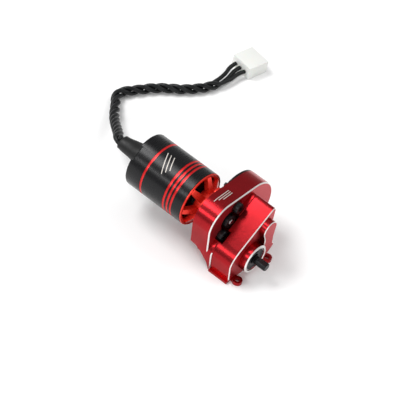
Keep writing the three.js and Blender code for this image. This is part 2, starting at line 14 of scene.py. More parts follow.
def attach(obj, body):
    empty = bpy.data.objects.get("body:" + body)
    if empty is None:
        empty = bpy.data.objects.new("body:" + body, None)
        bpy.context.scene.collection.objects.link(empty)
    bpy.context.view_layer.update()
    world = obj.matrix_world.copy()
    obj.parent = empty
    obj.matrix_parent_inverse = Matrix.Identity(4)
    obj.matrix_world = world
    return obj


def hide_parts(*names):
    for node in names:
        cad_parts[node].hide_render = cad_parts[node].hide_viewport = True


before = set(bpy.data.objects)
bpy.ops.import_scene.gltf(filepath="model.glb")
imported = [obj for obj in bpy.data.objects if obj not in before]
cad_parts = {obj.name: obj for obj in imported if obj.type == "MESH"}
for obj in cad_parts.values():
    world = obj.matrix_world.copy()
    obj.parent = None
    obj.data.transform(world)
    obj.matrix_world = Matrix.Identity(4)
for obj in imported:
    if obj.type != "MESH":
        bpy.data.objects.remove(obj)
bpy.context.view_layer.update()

# ------------------------------------------------------------------ driving dimensions, millimetres
MM = 0.001
AXIS_HEIGHT = 13.4
FOOT_X = 14.0
CAN_RADIUS = 7.75
CAN_LENGTH = 19.2

ARCH_REAR = 3.9
ARCH_FRONT = 9.5
PARTING = 10.9
HOUSING_FRONT = 17.0
BOSS_FRONT = 19.2
ARM_FRONT = 18.8
SHAFT_TIP = 22.95
STUB_END = ARCH_REAR - 2.5
HUB_FRONT = ARCH_REAR - 0.05      # front of the bell's hub, against the gearbox

MOTOR = (0.0, 0.0)
SPUR = (9.2188, -3.1743)
LAY = (5.9384, -0.0938)
OUTPUT = (1.5977, -7.8065)
ARCH_TOP = 6.2
CASE_RADIUS = 9.1
SCREW_CIRCLE = 4.2
SCREW_ANGLE = 58
BANDS = [-13.9, -6.07, -4.84, -3.67]
BAND_WIDTH = 0.62
BAND_DEPTH = 0.12
EAR_X = 18.4
EARS = [-3.5, 8.6]

WIRE_RADIUS = 0.6
TWIST_RADIUS = 0.85
TWIST_PITCH = 10.5
FAN_LENGTH = 10.0
SLEEVE_END = -26.8
CONTACT_PITCH = 2.0
CONNECTOR_X, CONNECTOR_Y = -33.6, 59.6
CONNECTOR_TURN = math.radians(-10)
CONNECTOR_SIZE = (7.4, 7.0, 4.0)
SPOKES = 7
FIRST_SPOKE = 37.6               # degrees of turn from straight up
GEAR_MODULE = 0.3
MOTOR_TEETH = 15

PLATE_SCREW_HOLE = 0.4           # radius
SHAFT_RADIUS = 0.75              # motor shaft
PRESS = 0.02                     # radial clearance of a pressed fit
ROUND = 96                       # sides of a large round
BRIGHT_EDGE, MILLED_FACE = 1, 2  # places of these materials in a housing's list


def to_row(x, y, z):
    """A point of the motor's own millimetres, in the row frame."""
    return Vector((x - FOOT_X, y, z + AXIS_HEIGHT)) * MM


def polar(centre, radius, degrees):
    angle = math.radians(degrees)
    return (centre[0] + radius * math.cos(angle), centre[1] + radius * math.sin(angle))


# ------------------------------------------------------------------ camera
def make_camera():
    data = bpy.data.cameras.new("camera")
    data.sensor_width = 36
    data.lens = 162
    data.clip_start, data.clip_end = 0.02, 20
    camera = bpy.data.objects.new("camera", data)
    bpy.context.scene.collection.objects.link(camera)
    right = Vector((0.74558, 0.64611, 0.16329))
    back = Vector((0.37375, -0.60826, 0.70023))
    up = back.cross(right)
    turn = Matrix((right, up, back)).transposed()
    camera.matrix_world = Matrix.Translation(Vector((157.9, -280.0, 335.51)) * MM) @ turn.to_4x4()
    bpy.context.scene.camera = camera
    bpy.context.scene.view_settings.view_transform = "Standard"


make_camera()


# ------------------------------------------------------------------ materials
class Nodes:
    """A small helper for one node tree."""

    def __init__(self, name):
        self.material = bpy.data.materials.new(name)
        self.material.use_nodes = True
        self.tree = self.material.node_tree
        self.shader = self.tree.nodes["Principled BSDF"]
        self.place = None

    def add(self, kind, **settings):
        node = self.tree.nodes.new(kind)
        for key, value in settings.items():
            if hasattr(node, key):
                setattr(node, key, value)
            else:
                node.inputs[key].default_value = value
        return node

    def link(self, source, target):
        self.tree.links.new(source, target)

    def coordinates(self):
        if self.place is None:
            self.place = self.add("ShaderNodeTexCoord").outputs["Object"]
        return self.place

    def noise(self, scale, detail=3.0, stretch=None):
        node = self.add("ShaderNodeTexNoise", Scale=scale, Detail=detail)
        source = self.coordinates()
        if stretch:
            mapping = self.add("ShaderNodeMapping", Scale=stretch)
            self.link(source, mapping.inputs["Vector"])
            source = mapping.outputs["Vector"]
        self.link(source, node.inputs["Vector"])
        return node.outputs["Fac"]

    def between(self, factor, low, high):
        """A number that runs from low to high with factor."""
        node = self.add("ShaderNodeMapRange")
        node.inputs["To Min"].default_value = low
        node.inputs["To Max"].default_value = high
        node.inputs["From Min"].default_value = 0.3
        node.inputs["From Max"].default_value = 0.7
        self.link(factor, node.inputs["Value"])
        return node.outputs["Result"]

    def mix(self, factor, first, second):
        node = self.add("ShaderNodeMix", data_type="RGBA")
        self.link(factor, node.inputs["Factor"])
        for socket, value in (("A", first), ("B", second)):
            target = [s for s in node.inputs if s.name == socket and s.type == "RGBA"][0]
            if hasattr(value, "node"):
                self.link(value, target)
            else:
                target.default_value = (*value, 1)
        return [s for s in node.outputs if s.type == "RGBA"][0]

    def bump(self, height, strength, distance):
        node = self.add("ShaderNodeBump", Strength=strength, Distance=distance)
        self.link(height, node.inputs["Height"])
        self.link(node.outputs["Normal"], self.shader.inputs["Normal"])

    def set(self, **values):
        for key, value in values.items():
            self.shader.inputs[key.replace("_", " ")].default_value = value


def metal(name, colour, darker, metallic, roughness, spread, grain, grain_depth, stretch=None):
    """A metal whose colour and gloss vary a little, with a fine grain."""
    n = Nodes(name)
    broad = n.noise(140, 2.0)
    fine = n.noise(grain, 4.0, stretch)
    n.link(n.mix(n.between(broad, 0, 1), darker, colour), n.shader.inputs["Base Color"])
    n.link(n.between(fine, roughness - spread, roughness + spread), n.shader.inputs["Roughness"])
    n.bump(fine, 0.35, grain_depth)
    n.set(Metallic=metallic)
    return n


def plain_metal(name, colour, darker, metallic, roughness, spread=0.05, grain=2600, depth=0.00001,
                stretch=None):
    return metal(name, colour, darker, metallic, roughness, spread, grain, depth, stretch).material


def red_anodised():
    n = metal("red_anodised_aluminium", (0.4, 0.006, 0.012), (0.31, 0.004, 0.008), 0.9, 0.24, 0.04,
              3200, 0.000004)
    n.set(Coat_Weight=0.15, Coat_Roughness=0.3)
    return n.material


def milled_red():
    """The flat front faces, with the fine crossing arcs of a face mill."""
    n = Nodes("milled_red_aluminium")
    arcs = n.add("ShaderNodeTexWave", wave_type="RINGS", rings_direction="X", Scale=620.0,
                 Distortion=1.2)
    n.link(n.coordinates(), arcs.inputs["Vector"])
    fine = n.noise(2400, 3.0)
    colour = n.mix(n.between(arcs.outputs["Fac"], 0, 1), (0.42, 0.014, 0.024), (0.52, 0.026, 0.038))
    n.link(colour, n.shader.inputs["Base Color"])
    n.link(n.between(fine, 0.3, 0.42), n.shader.inputs["Roughness"])
    n.bump(arcs.outputs["Fac"], 0.25, 0.00001)
    n.set(Metallic=0.8)
    return n.material


def black_anodised():
    n = metal("black_anodised_aluminium", (0.007, 0.007, 0.008), (0.004, 0.004, 0.005), 0.3, 0.27, 0.04,
              3000, 0.000008, (1.0, 0.25, 0.25))
    n.set(Specular_IOR_Level=0.35)
    return n.material


def silicone():
    n = Nodes("black_silicone_insulation")
    fine = n.noise(900, 4.0)
    broad = n.noise(160, 2.0)
    colour = n.mix(n.between(broad, 0, 1), (0.004, 0.0045, 0.005), (0.008, 0.009, 0.01))
    n.link(colour, n.shader.inputs["Base Color"])
    n.link(n.between(fine, 0.32, 0.45), n.shader.inputs["Roughness"])
    n.bump(fine, 0.3, 0.00004)
    n.set(Specular_IOR_Level=0.25)
    return n.material


def heat_shrink():
    n = Nodes("black_shrink_sleeve")
    fine = n.noise(1500, 4.0)
    crease_bumps_and_painted_shade = n.noise(260, 3.0, (1.0, 0.35, 0.35))
    # The colour follows the crease noise that also drives the bump and is darker in its low places:
    # painted shade in the creases.
    colour = n.mix(n.between(crease_bumps_and_painted_shade, 0, 1), (0.006, 0.006, 0.006), (0.013, 0.013, 0.014))
    n.link(colour, n.shader.inputs["Base Color"])
    n.link(n.between(fine, 0.4, 0.52), n.shader.inputs["Roughness"])
    n.bump(crease_bumps_and_painted_shade, 0.4, 0.0001)
    n.set(Specular_IOR_Level=0.3)
    return n.material


def white_nylon():
    n = Nodes("white_nylon")
    fine = n.noise(1800, 3.0)
    broad = n.noise(90, 2.0)
    colour = n.mix(n.between(broad, 0, 1), (0.75, 0.76, 0.73), (0.79, 0.8, 0.77))
    n.link(colour, n.shader.inputs["Base Color"])
    n.link(n.between(fine, 0.38, 0.5), n.shader.inputs["Roughness"])
    n.bump(fine, 0.2, 0.00001)
    n.set(Subsurface_Weight=0.05, Subsurface_Scale=0.0006)
    return n.material


BLACK = black_anodised()
RED = red_anodised()
MILLED = milled_red()
RED_BAND = plain_metal("bright_red_band", (0.75, 0.02, 0.022), (0.62, 0.015, 0.017), 0.6, 0.3)
SPOKE_RED = plain_metal("spoke_red", (0.85, 0.035, 0.018), (0.72, 0.025, 0.014), 0.55, 0.3)
BRIGHT = plain_metal("cut_bright_aluminium", (0.93, 0.92, 0.9), (0.84, 0.83, 0.82), 0.85, 0.42, 0.05)
STEEL = plain_metal("ground_steel", (0.6, 0.6, 0.61), (0.5, 0.5, 0.52), 1.0, 0.26, 0.06)
DARK_STEEL = plain_metal("black_oxide_steel", (0.022, 0.022, 0.024), (0.012, 0.012, 0.013), 0.7, 0.3,
                         0.06)
LAMINATION = plain_metal("coated_lamination", (0.16, 0.16, 0.17), (0.1, 0.1, 0.11), 0.8, 0.45, 0.06,
                         stretch=(6.0, 0.2, 0.2))
COPPER = plain_metal("enamelled_copper", (0.42, 0.13, 0.05), (0.3, 0.08, 0.03), 0.8, 0.3, 0.05,
                     900, 0.00004, stretch=(0.2, 2.0, 2.0))
MAGNET = plain_metal("nickel_plated_magnet", (0.5, 0.5, 0.5), (0.42, 0.42, 0.42), 1.0, 0.25)
TIN = plain_metal("tin_plate", (0.66, 0.66, 0.64), (0.56, 0.56, 0.55), 1.0, 0.3)
# Near-black for the shield and inner race of the output bearing: painted shade in the recess of the
# boss.
BEARING_RECESS_SHADE = plain_metal("bearing_recess_painted_shade", (0.07, 0.07, 0.075), (0.04, 0.04, 0.044), 0.8, 0.35)
ROTOR_BLACK = plain_metal("rotor_black", (0.03, 0.03, 0.032), (0.018, 0.018, 0.02), 0.7, 0.4)
INK = plain_metal("pale_laser_mark", (0.6, 0.56, 0.52), (0.48, 0.45, 0.41), 0.3, 0.5)
SILICONE = silicone()
SHRINK = heat_shrink()
NYLON = white_nylon()


# ------------------------------------------------------------------ mesh makers
def make_object(name, bm, materials):
    mesh = bpy.data.meshes.new(name)
    bm.to_mesh(mesh)
    bm.free()
    obj = bpy.data.objects.new(name, mesh)
    bpy.context.scene.collection.objects.link(obj)
    for material in materials:
        mesh.materials.append(material)
    return obj


def close(bm):
    bmesh.ops.remove_doubles(bm, verts=bm.verts, dist=1e-5)
    bmesh.ops.recalc_face_normals(bm, faces=bm.faces)


def turned(rings, at=MOTOR, sides=ROUND, painted=None):
    """A round solid about the shaft direction from rings (x, radius) that go round its section once.
    painted gives a material index to the band that starts at a ring."""
    painted = painted or {}
    bm = bmesh.new()
    circles = []
    for x, radius in rings:
        if radius == 0:
            circles.append([bm.verts.new((x, at[0], at[1]))])
            continue
        circles.append([bm.verts.new((x, *polar(at, radius, 360 * k / sides))) for k in range(sides)])
    for index, circle in enumerate(circles):
        other = circles[(index + 1) % len(circles)]
        if len(circle) == 1 and len(other) == 1:
            continue
        for k in range(sides):
            a, b = circle[k % len(circle)], circle[(k + 1) % len(circle)]
            c, d = other[(k + 1) % len(other)], other[k % len(other)]
            corners = [v for i, v in enumerate((a, b, c, d)) if v not in (a, b, c, d)[:i]]
            if len(corners) > 2:
                face = bm.faces.new(corners)
                face.material_index = painted.get(index, 0)
    bmesh.ops.recalc_face_normals(bm, faces=bm.faces)
    return bm


def rod(x0, x1, radius, at=MOTOR, sides=48, painted=None):
    return turned([(x0, 0), (x0, radius), (x1, radius), (x1, 0)], at, sides, painted)


def soft_rod(x0, x1, radius, edge, at=MOTOR, sides=48):
    """A rod whose rims are rounded by edge."""
    quarter = [math.radians(90 * step / 4) for step in range(5)]
    rings = [(x0, 0)]
    rings += [(x0 + edge - edge * math.cos(a), radius - edge + edge * math.sin(a)) for a in quarter]
    rings += [(x1 - edge + edge * math.sin(a), radius - edge + edge * math.cos(a)) for a in quarter]
    rings.append((x1, 0))
    return turned(rings, at, sides)


def upright_rod(centre, radius, height, sides):
    bm = bmesh.new()
    bmesh.ops.create_cone(bm, cap_ends=True, segments=sides, radius1=radius, radius2=radius,
                          depth=height)
    bmesh.ops.translate(bm, verts=bm.verts, vec=centre)
    return bm


def box(x0, x1, y0, y1, z0, z1):
    bm = bmesh.new()
    bmesh.ops.create_cube(bm, size=1)
    for v in bm.verts:
        v.co = ((x0 + x1) / 2 + v.co.x * (x1 - x0), (y0 + y1) / 2 + v.co.y * (y1 - y0),
                (z0 + z1) / 2 + v.co.z * (z1 - z0))
    return bm


def arc(centre, radius, start, end, steps=24):
    return [polar(centre, radius, start + (end - start) * k / steps) for k in range(steps + 1)]


def curve(start, control, end, steps=10):
    """A quadratic curve from start to end, as a list of points."""
    points = []
    for k in range(steps + 1):
        t = k / steps
        points.append(tuple((1 - t) ** 2 * a + 2 * t * (1 - t) * b + t ** 2 * c
                            for a, b, c in zip(start, control, end)))
    return points


def without_repeats(points):
    kept = [p for i, p in enumerate(points) if math.dist(p, points[i - 1]) > 1e-4]
    return kept


def inset(points, distance):
    """The outline moved inwards by distance; the outline may run either way round."""
    area = sum(a[0] * b[1] - b[0] * a[1] for a, b in zip(points, points[1:] + points[:1]))
    side = 1 if area > 0 else -1
    moved = []
    for i, point in enumerate(points):
        before, after = points[i - 1], points[(i + 1) % len(points)]
        first = Vector((point[0] - before[0], point[1] - before[1])).normalized()
        second = Vector((after[0] - point[0], after[1] - point[1])).normalized()
        normal = Vector((-first.y - second.y, first.x + second.x))
        if normal.length < 1e-6:
            normal = Vector((-first.y, first.x))
        normal.normalize()
        half = max(0.5, normal.dot(Vector((-first.y, first.x))))
        shift = normal * (side * distance / half)
        moved.append((point[0] + shift.x, point[1] + shift.y))
    return moved


def prism(points, x0, x1, chamfer=0.0, painted=0, cap=0, where=lambda y, z: True):
    """A solid between two x stations, with an optional chamfer round its front in another material.
    where picks, by the middle of each edge, the edges that are painted."""
    points = without_repeats(points)
    bm = bmesh.new()
    stations = [(x0, points), (x1 - chamfer, points)]
    if chamfer:
        stations.append((x1, inset(points, chamfer)))
    rows = [[bm.verts.new((x, y, z)) for y, z in outline] for x, outline in stations]
    count = len(points)
    for level, (low, high) in enumerate(zip(rows, rows[1:])):
        for k in range(count):
            j = (k + 1) % count
            face = bm.faces.new((low[k], low[j], high[j], high[k]))
            middle = (low[k].co + low[j].co) / 2
            if level == 1 and where(middle.y, middle.z):
                face.material_index = painted
    bm.faces.new(rows[0])
    front = bm.faces.new(rows[-1])
    front.material_index = cap
    bmesh.ops.recalc_face_normals(bm, faces=bm.faces)
    return bm


def side_prism(near, far):
    """A solid between two outlines of points (x, y, z) with the same number of corners."""
    bm = bmesh.new()
    rows = [[bm.verts.new(point) for point in outline] for outline in (near, far)]
    count = len(near)
    for k in range(count):
        j = (k + 1) % count
        bm.faces.new((rows[0][k], rows[0][j], rows[1][j], rows[1][k]))
    bm.faces.new(rows[0])
    bm.faces.new(rows[1])
    bmesh.ops.recalc_face_normals(bm, faces=bm.faces)
    return bm


def combine(name, base, others, operation, materials):
    """The base mesh with the others added or taken away, one after another."""
    obj = make_object(name, base, materials) if isinstance(base, bmesh.types.BMesh) else base
    for other in others:
        tool = make_object("tool", other, materials)
        modifier = obj.modifiers.new("boolean", "BOOLEAN")
        modifier.operation = operation
        modifier.solver = "EXACT"
        modifier.object = tool
        apply_modifiers(obj)
        bpy.data.objects.remove(tool)
    return obj


def apply_modifiers(obj):
    graph = bpy.context.evaluated_depsgraph_get()
    mesh = bpy.data.meshes.new_from_object(obj.evaluated_get(graph))
    obj.modifiers.clear()
    old = obj.data
    obj.data = mesh
    bpy.data.meshes.remove(old)


def soften(obj, width, segments=2, angle=35):
    modifier = obj.modifiers.new("edges", "BEVEL")
    modifier.width = width
    modifier.segments = segments
    modifier.limit_method = "ANGLE"
    modifier.angle_limit = math.radians(angle)
    modifier.use_clamp_overlap = True
    modifier.miter_outer = "MITER_ARC"
    apply_modifiers(obj)


def finished(obj, body, slot, *nodes, smooth=32):
    """Carries a mesh from the motor's millimetres to the row frame, in place of the CAD nodes named."""
    obj.data.transform(Matrix.Scale(MM, 4) @ Matrix.Translation((-FOOT_X, 0, AXIS_HEIGHT)))
    obj.data.shade_smooth()
    obj.data.set_sharp_from_angle(angle=math.radians(smooth))
    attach(obj, body)
    if nodes:
        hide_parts(*nodes)
    return obj


def simple(name, bm, body, slot, materials, *nodes, smooth=32):
    return finished(make_object(name, bm, materials), body, slot, *nodes, smooth=smooth)


# ------------------------------------------------------------------ lead
FLOOR = -AXIS_HEIGHT + WIRE_RADIUS + TWIST_RADIUS + 0.05
ROUTE = [
    (-27.3, 0, 0), (-29.3, 0.6, -0.4), (-31.4, 3.2, -2.2), (-34.6, 6.6, -4.8), (-38.6, 10.8, -7.9),
    (-42.2, 14.8, -10.3), (-45.4, 18.9, -11.6), (-47.9, 22.0, FLOOR), (-48.7, 24.1, FLOOR),
    (-47.8, 26.5, FLOOR), (-45.9, 29.9, FLOOR), (-44.0, 33.2, FLOOR), (-41.5, 36.3, FLOOR),
    (-38.8, 39.0, FLOOR), (-36.5, 42.1, FLOOR), (-34.5, 45.8, FLOOR), (-33.6, 49.5, FLOOR),
    (-33.5, 53.6, FLOOR), (-33.9, 56.8, -11.6), (-33.66, 59.26, -11.4),
]
WIRES = {"lead_wire_a": (30, -1), "lead_wire_b": (150, 1), "lead_wire_c": (270, 0)}
SPACING = 0.5                    # between the points of the bundle's line


def bundle_line():
    """Evenly spaced points on a smooth curve through the route."""
    points = [Vector(p) for p in ROUTE]
    padded = [points[0] * 2 - points[1], *points, points[-1] * 2 - points[-2]]
    dense = []
    for a, b, c, d in zip(padded, padded[1:], padded[2:], padded[3:]):
        for k in range(40):
            t = k / 40
            dense.append(0.5 * (2 * b + (c - a) * t + (2 * a - 5 * b + 4 * c - d) * t ** 2
                                + (3 * b - a - 3 * c + d) * t ** 3))
    dense.append(points[-1])
    length = sum((q - p).length for p, q in zip(dense, dense[1:]))
    count = round(length / SPACING)
    line, walked, wanted = [dense[0]], 0.0, 1
    for p, q in zip(dense, dense[1:]):
        walked += (q - p).length
        while wanted < count and walked >= wanted * length / count:
            line.append(q.copy())
            wanted += 1
    line.append(dense[-1])
    return line, length


def wire_points(line, length, phase, way):
    """A helix round the bundle's line that runs out to its own way of the connector."""
    fanned = Vector((math.cos(CONNECTOR_TURN), math.sin(CONNECTOR_TURN), 0)) * way * CONTACT_PITCH
    points = []
    for i, middle in enumerate(line):
        along = (line[min(i + 1, len(line) - 1)] - line[max(i - 1, 0)]).normalized()
        side = Vector((-along.y, along.x, 0)).normalized()
        up = along.cross(side)
        to_end = length * (1 - i / (len(line) - 1))
        angle = math.radians(phase) - math.tau * max(0, to_end - FAN_LENGTH) / TWIST_PITCH
        twisted = (side * math.cos(angle) + up * math.sin(angle)) * TWIST_RADIUS
        spread = max(0, 1 - to_end / FAN_LENGTH)
        points.append(to_row(*(middle + twisted.lerp(fanned, spread))))
    return points


def lead():
    line, length = bundle_line()
    for node, (phase, way) in WIRES.items():
        points = wire_points(line, length, phase, way)
        data = bpy.data.curves.new(node + "_insulation", "CURVE")
        data.dimensions = "3D"
        data.bevel_depth = WIRE_RADIUS * MM
        data.bevel_resolution = 6
        data.use_fill_caps = True
        spline = data.splines.new("POLY")
        spline.points.add(len(points) - 1)
        for target, point in zip(spline.points, points):
            target.co = (*point, 1)
        wire = bpy.data.objects.new(node + "_insulation", data)
        bpy.context.scene.collection.objects.link(wire)
        data.materials.append(SILICONE)
        spline.use_smooth = True
        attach(wire, "case")
        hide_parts(node)


lead()


def sleeve():
    """An oval shrink tube that draws in, and down, from the rear cap to the bundle of wires."""
    start, mouth = -18.92, SLEEVE_END - 0.55
    outer = []
    # Each ring is its x, half width, half height and rise above the shaft.
    for x in (start, -19.6, -20.6, -21.8, -23.0, -24.2, -25.2, -26.0, SLEEVE_END, mouth + 0.12, mouth):
        share = max(0, (x - SLEEVE_END) / (start - SLEEVE_END))
        outer.append([x, 2.2 + 1.3 * share, 1.72 + 1.15 * share ** 1.2, 0.5 * share])
    lip = 0.12
    outer[-1][1] -= lip
    outer[-1][2] -= lip
    inner = [[mouth, 1.78, 1.48, 0], [SLEEVE_END, 1.7, 1.46, 0]]
    sides = 64
    bm = bmesh.new()
    rows = []
    for x, wide, high, rise in outer + inner:
        row = []
        for k in range(sides):
            angle = math.tau * k / sides
            crease = 0.03 * math.cos(3 * angle + 0.9 * x) * (SLEEVE_END < x < start)
            row.append(bm.verts.new((x, wide * (1 + crease) * math.cos(angle),
                                     high * (1 + crease) * math.sin(angle) + rise)))
        rows.append(row)
    for low, high in zip(rows, rows[1:]):
        for k in range(sides):
            bm.faces.new((low[k], low[(k + 1) % sides], high[(k + 1) % sides], high[k]))
    bm.faces.new(rows[0])
    bm.faces.new(rows[-1])
    bmesh.ops.recalc_face_normals(bm, faces=bm.faces)
    simple("shrink_sleeve", bm, "case", "heat_shrink", [SHRINK], "lead_sleeve", smooth=50)


def connector():
    """A block with a cavity and an underside window for each way, and two key slots."""
    wide, long, high = CONNECTOR_SIZE
    cavity_half, window_half, key_half = 0.7, 0.35, 0.2
    key_place = 3.2
    tools = []
    for way in (-1, 0, 1):
        x = way * CONTACT_PITCH
        tools.append(box(x - cavity_half, x + cavity_half, 0.9, long + 1, 1.25, 2.75))
        tools.append(box(x - window_half, x + window_half, 1.5, long - 1, -1, 1.5))
    for side in (-1, 1):
        x = side * key_place
        tools.append(box(x - key_half, x + key_half, 3.2, long + 1, -1, 0.8))
    shell = combine("connector_shell", box(-wide / 2, wide / 2, 0, long, 0, high), tools, "DIFFERENCE",
                    [NYLON])
    soften(shell, 0.14, 3)
    shell.data.transform(Matrix.Translation((CONNECTOR_X, CONNECTOR_Y, -AXIS_HEIGHT))
                         @ Matrix.Rotation(CONNECTOR_TURN, 4, "Z"))
    finished(shell, "case", "white_nylon", "connector_housing")


# ------------------------------------------------------------------ motor
def motor_can():
    rim = 0.35
    rings = [(-CAN_LENGTH, 7.1), (-CAN_LENGTH, CAN_RADIUS - rim)]
    for step in range(1, 5):
        angle = math.radians(90 * step / 4)
        rings.append((-CAN_LENGTH + rim * (1 - math.cos(angle)),
                      CAN_RADIUS - rim + rim * math.sin(angle)))
    painted = {}
    edge = 0.06
    for x in BANDS:
        low, high = x - BAND_WIDTH / 2, x + BAND_WIDTH / 2
        painted.update({len(rings): 1, len(rings) + 1: 1, len(rings) + 2: 1})
        rings += [(low, CAN_RADIUS), (low + edge, CAN_RADIUS - BAND_DEPTH),
                  (high - edge, CAN_RADIUS - BAND_DEPTH), (high, CAN_RADIUS)]
    rings += [(-0.5, CAN_RADIUS), (-0.4, CAN_RADIUS - 0.1), (-0.4, 7.1)]
    notch = box(-0.7, 0.7, -2.2, 2.2, 6.5, 8.5)
    bmesh.ops.rotate(notch, verts=notch.verts, matrix=Matrix.Rotation(math.radians(41), 3, "X"))
    bmesh.ops.translate(notch, verts=notch.verts, vec=(-CAN_LENGTH + 0.2, 0, 0))
    can = combine("outer_can", turned(rings, sides=160, painted=painted), [notch], "DIFFERENCE",
                  [BLACK, RED_BAND])
    finished(can, "case", "black_anodised", "motor_can", smooth=35)


def front_bell():
    """Rim ring, seven sloping spokes, hub and two screw lobes."""
    ring = turned([(-2.4, 6.5), (-2.4, 7.05), (-0.35, 7.05), (-0.35, CAN_RADIUS - 0.02),
                   (-0.1, CAN_RADIUS - 0.02), (0, CAN_RADIUS - 0.12), (0, 7.2), (-0.1, 7.05),
                   (-0.5, 6.5)],
                  sides=128)
    parts = [soft_rod(0.2, HUB_FRONT, 3.7, 0.25, sides=96)]
    # Corners of a spoke seen from the side, each with half the spoke's width there.
    side = [(-1.0, 6.6, 0.75), (-0.2, 7.2, 0.75), (0.2, 6.9, 0.75), (2.4, 3.4, 1.05), (0.8, 3.4, 1.05)]
    for spoke in range(SPOKES):
        bar = side_prism(*([(x, hand * half, z) for x, z, half in side] for hand in (-1, 1)))
        turn = Matrix.Rotation(math.radians(FIRST_SPOKE + 360 * spoke / SPOKES), 3, "X")
        bmesh.ops.rotate(bar, verts=bar.verts, matrix=turn)
        parts.append(bar)
    for turn in (0, 180):
        parts.append(rod(2.7, HUB_FRONT, 1.4, polar(MOTOR, SCREW_CIRCLE, SCREW_ANGLE + turn), 32))
    bell = combine("front_bell", ring, parts, "UNION", [SPOKE_RED])
    holes = [rod(0.1, 2.2, 2.02, sides=48), rod(2.0, 4.5, 1.1, sides=32)]
    bell = combine("front_bell", bell, holes, "DIFFERENCE", [SPOKE_RED])
    soften(bell, 0.09, 2)
    finished(bell, "case", "red_anodised", "front_end_bell", smooth=40)


def rear_cap():
    rings = [(-18.9, 0), (-18.9, 6.85), (-18.85, 6.98), (-18.7, 7.05), (-17.7, 7.05), (-17.7, 2.6),
             (-3.9, 2.6), (-3.9, 1.2), (-16.2, 1.2), (-16.2, 2.0), (-18.0, 2.0), (-18.0, 0)]
    cap = make_object("rear_cap", turned(rings, sides=128), [BLACK])
    finished(cap, "case", "black_anodised", "rear_end_cap")


def rotor_bell():
    bore = SHAFT_RADIUS + PRESS
    rings = [(-16.6, 6.2), (-16.6, 6.75), (-3.0, 6.75), (-2.8, 6.55), (-2.8, 2.1), (-2.6, 1.9),
             (-1.2, 1.9), (-1.2, bore), (-3.6, bore), (-3.6, 6.2)]
    holes = [rod(-4, -2, 1.3, polar(MOTOR, 4.1, turn), 40) for turn in (45, 135, 225, 315)]
    bell = combine("rotor_drum", turned(rings, sides=112), holes, "DIFFERENCE", [ROTOR_BLACK])
    finished(bell, "rotor", "steel", "rotor_bell")


def motor_shaft():
    simple("motor_spindle", soft_rod(-17.7, 10.5, SHAFT_RADIUS, 0.15), "rotor", "steel", [STEEL],
           "motor_shaft")


def motor_pinion():
    """Teeth at the rear and a long hub in front of them, with a set screw hole in its side."""
    pitch_radius = GEAR_MODULE * MOTOR_TEETH / 2
    step = 360 / MOTOR_TEETH
    outline = []
    for tooth in range(MOTOR_TEETH):
        for height, share in ((-1.15, -0.31), (0.85, -0.12), (0.85, 0.12), (-1.15, 0.31)):
            outline.append(polar(MOTOR, pitch_radius + height * GEAR_MODULE, step * (tooth + share)))
    set_screw_hole = upright_rod((8.6, 0, 2.35), 0.55, 3, 32)
    bmesh.ops.rotate(set_screw_hole, verts=set_screw_hole.verts,
                     matrix=Matrix.Rotation(math.radians(-55), 3, "X"))
    hub = soft_rod(5.4, 10.3, 1.9, 0.2, sides=64)
    pinion = combine("pinion", prism(outline, 4.1, 5.5), [hub], "UNION", [DARK_STEEL])
    pinion = combine("pinion", pinion, [rod(3, 12, 0.78), set_screw_hole], "DIFFERENCE", [DARK_STEEL])
    finished(pinion, "rotor", "black_steel", "motor_pinion", smooth=30)


# ------------------------------------------------------------------ gearbox
def arch_outline():
    corner_y = -1.4
    points = [(-5.8, -AXIS_HEIGHT), (corner_y - ARCH_TOP, 0)]
    points += arc((corner_y, 0), ARCH_TOP, 180, 90, 28)
    points += arc(SPUR, CASE_RADIUS, 90, -90, 56)
    points.append((SPUR[0] - 0.8, -AXIS_HEIGHT))
    return points


def block_outline(shift):
    points = [(-5.8 + shift, -AXIS_HEIGHT), (-6.6 + shift, -7.6)]
    points += curve((-6.6 + shift, -7.6), (-6.3 + shift, -5.3), (-3.4, -3.4))
    points.append((7.1, 4.1))
    points += curve((7.1, 4.1), (9.1, 5.5), (9.1, 3.2))
    points.append((9.1, -AXIS_HEIGHT))
    return points


MOTOR_SCREWS = [polar(MOTOR, SCREW_CIRCLE, SCREW_ANGLE + turn) for turn in (0, 180)]
PLATE_SCREWS = [polar(SPUR, 8.52, turn) for turn in (117, 2, -80)]
CASE_SCREW = (-4.3, -10.7)


def rear_housing():
    # The scoop out of the rear lower corner, from its far wall to beyond the near wall.
    side = [(ARCH_REAR - 1, -7.3), (ARCH_REAR - 1, -20), (PARTING + 1, -20),
            (PARTING - 0.5, -AXIS_HEIGHT), (9.7, -11.4), (7.3, -8.7), (5.6, -7.6)]
    corner = side_prism(*([(x, y, z) for x, z in side] for y in (-2.4, -12.4)))

    arch = prism(arch_outline(), ARCH_REAR, ARCH_FRONT, 0.28, BRIGHT_EDGE, MILLED_FACE)
    block = prism(block_outline(0), ARCH_FRONT - 0.5, PARTING, 0.26, BRIGHT_EDGE, MILLED_FACE,
                  where=lambda y, z: y < 0 and z < -6.5)
    paints = [RED, BRIGHT, MILLED]
    body = combine("rear_case", arch, [block], "UNION", paints)
    tools = [
        corner,
        rod(ARCH_REAR - 1, 5.7, 7.95, SPUR, 96),
        rod(ARCH_REAR - 1, 12, 2.9, MOTOR, 72),
        rod(5, 7.5, 3.6, LAY),
        rod(8.9, 12, 2.02, LAY),
        rod(ARCH_REAR - 1, 8.3, 1.9, OUTPUT),
        rod(8.2, 12, 3.02, OUTPUT),
        rod(3.0, 9.9, 1.5, CASE_SCREW, 40),
    ]
    tools += [rod(ARCH_REAR - 1, 10, 1.05, at, 32) for at in MOTOR_SCREWS]
    tools += [rod(ARCH_FRONT, 12, 2.05, at, 48) for at in MOTOR_SCREWS]
    body = combine("rear_case", body, tools, "DIFFERENCE", paints)
    finished(body, "case", "red_anodised", "rear_housing", smooth=28)


